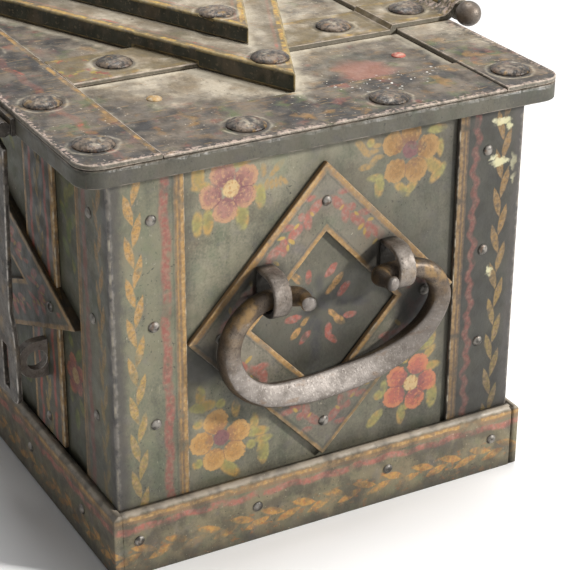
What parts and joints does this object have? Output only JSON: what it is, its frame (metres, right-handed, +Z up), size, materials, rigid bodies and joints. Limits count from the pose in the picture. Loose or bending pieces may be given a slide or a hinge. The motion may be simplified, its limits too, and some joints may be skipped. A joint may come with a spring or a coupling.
{
  "type": "strongbox",
  "caption": "Iron strongbox of riveted, strap-bound sheet with a stepped lozenge lid, sliding bolts beneath it, swinging end handles and hinged front hasps.",
  "frame": {"origin": "on the floor, under the middle of the box", "axes": "+X along the length, towards the pictured end; +Y from the hasps to the hinges; +Z up"},
  "size_m": [0.779, 0.4079, 0.3522],
  "materials": {
    "paint": "worn matt",
    "strap": "worn matt",
    "plinth": "worn matt",
    "lid_paint": "worn, dusty",
    "bare_iron": "forged, rubbed",
    "dark_iron": "forged, dark",
    "lock_steel": "filed"
  },
  "bodies": {
    "chest": {"bottom_plate": "dark_iron", "front_panel": "paint", "back_panel": "paint", "right_end_panel": "paint", "left_end_panel": "paint", "corner_strap_front_right": "strap", "corner_strap_front_left": "strap", "corner_strap_back_right": "strap", "corner_strap_back_left": "strap", "plinth_front": "plinth", "plinth_back": "plinth", "plinth_right": "plinth", "plinth_left": "plinth", "mouth_rim_front": "dark_iron", "mouth_rim_back": "dark_iron", "mouth_rim_right": "dark_iron", "mouth_rim_left": "dark_iron", "right_lozenge_frame": "strap", "left_lozenge_frame": "strap", "front_upright_right": "strap", "front_upright_left": "strap", "front_lozenge_frame": "strap", "back_strap_right": "strap", "back_strap_left": "strap", "hinge_pin_right": "bare_iron", "hinge_pin_left": "bare_iron", "right_handle_loop_back": "bare_iron", "right_handle_loop_front": "bare_iron", "left_handle_loop_back": "bare_iron", "left_handle_loop_front": "bare_iron", "hasp_staple_right": "bare_iron", "hasp_staple_left": "bare_iron"},
    "lid": {"lid_plate": "lid_paint", "lid_rim": "lid_paint", "lid_front_border": "lid_paint", "lid_back_border": "lid_paint", "lid_right_border": "lid_paint", "lid_left_border": "lid_paint", "front_cross_strap_right": "lid_paint", "front_cross_strap_left": "lid_paint", "hinge_strap_right": "lid_paint", "hinge_strap_left": "lid_paint", "lower_lozenge": "lid_paint", "upper_lozenge": "lid_paint", "hasp_bracket_right": "dark_iron", "hasp_bracket_left": "dark_iron", "lock_plate": "lock_steel", "lock_cover": "lock_steel"},
    "right_handle": {"right_handle": "bare_iron"},
    "left_handle": {"left_handle": "bare_iron"},
    "hasp_right": {"hasp_right": "dark_iron"},
    "hasp_left": {"hasp_left": "dark_iron"},
    "keyhole_cover": {"keyhole_cover": "bare_iron"},
    "bolt_wheel": {"bolt_wheel": "lock_steel"},
    "bolt_right": {"bolt_right": "lock_steel"},
    "bolt_left": {"bolt_left": "lock_steel"},
    "bolt_front": {"bolt_front": "lock_steel"},
    "bolt_back": {"bolt_back": "lock_steel"}
  },
  "joints": [
    {"name": "lid_hinge", "type": "hinge", "parent": "chest", "child": "lid", "pos_m": [0, 0.197, 0.327], "axis": [-1, 0, 0], "range_deg": [0, 100]},
    {"name": "right_handle_swing", "type": "hinge", "parent": "chest", "child": "right_handle", "pos_m": [0.3645, 0, 0.1975], "axis": [0, -1, 0], "range_deg": [-1.5, 105]},
    {"name": "left_handle_swing", "type": "hinge", "parent": "chest", "child": "left_handle", "pos_m": [-0.3645, 0, 0.1975], "axis": [0, 1, 0], "range_deg": [-1.5, 105]},
    {"name": "right_hasp_hinge", "type": "hinge", "parent": "lid", "child": "hasp_right", "pos_m": [0.2255, -0.1952, 0.3088], "axis": [-1, 0, 0], "range_deg": [-7, 190]},
    {"name": "left_hasp_hinge", "type": "hinge", "parent": "lid", "child": "hasp_left", "pos_m": [-0.2255, -0.1952, 0.3088], "axis": [-1, 0, 0], "range_deg": [-7, 190]},
    {"name": "keyhole_cover_swing", "type": "hinge", "parent": "lid", "child": "keyhole_cover", "pos_m": [0, 0.02985, 0.3457], "axis": [0, 0, 1], "range_deg": [0, 120]},
    {"name": "bolt_wheel_turn", "type": "hinge", "parent": "lid", "child": "bolt_wheel", "pos_m": [0, 0.00385, 0.2955], "axis": [0, 0, 1], "range_deg": [0, 90]},
    {"name": "right_bolt_slide", "type": "slide", "parent": "lid", "child": "bolt_right", "axis": [1, 0, 0], "range_m": [0, 0.018]},
    {"name": "left_bolt_slide", "type": "slide", "parent": "lid", "child": "bolt_left", "axis": [-1, 0, 0], "range_m": [0, 0.018]},
    {"name": "front_bolt_slide", "type": "slide", "parent": "lid", "child": "bolt_front", "axis": [0, -1, 0], "range_m": [0, 0.018]},
    {"name": "back_bolt_slide", "type": "slide", "parent": "lid", "child": "bolt_back", "axis": [0, 1, 0], "range_m": [0, 0.018]}
  ],
  "couplings": [
    {"joint": "right_bolt_slide", "follows": "bolt_wheel_turn", "m_per_rad": 0.011459},
    {"joint": "left_bolt_slide", "follows": "bolt_wheel_turn", "m_per_rad": 0.011459},
    {"joint": "front_bolt_slide", "follows": "bolt_wheel_turn", "m_per_rad": 0.011459},
    {"joint": "back_bolt_slide", "follows": "bolt_wheel_turn", "m_per_rad": 0.011459}
  ]
}
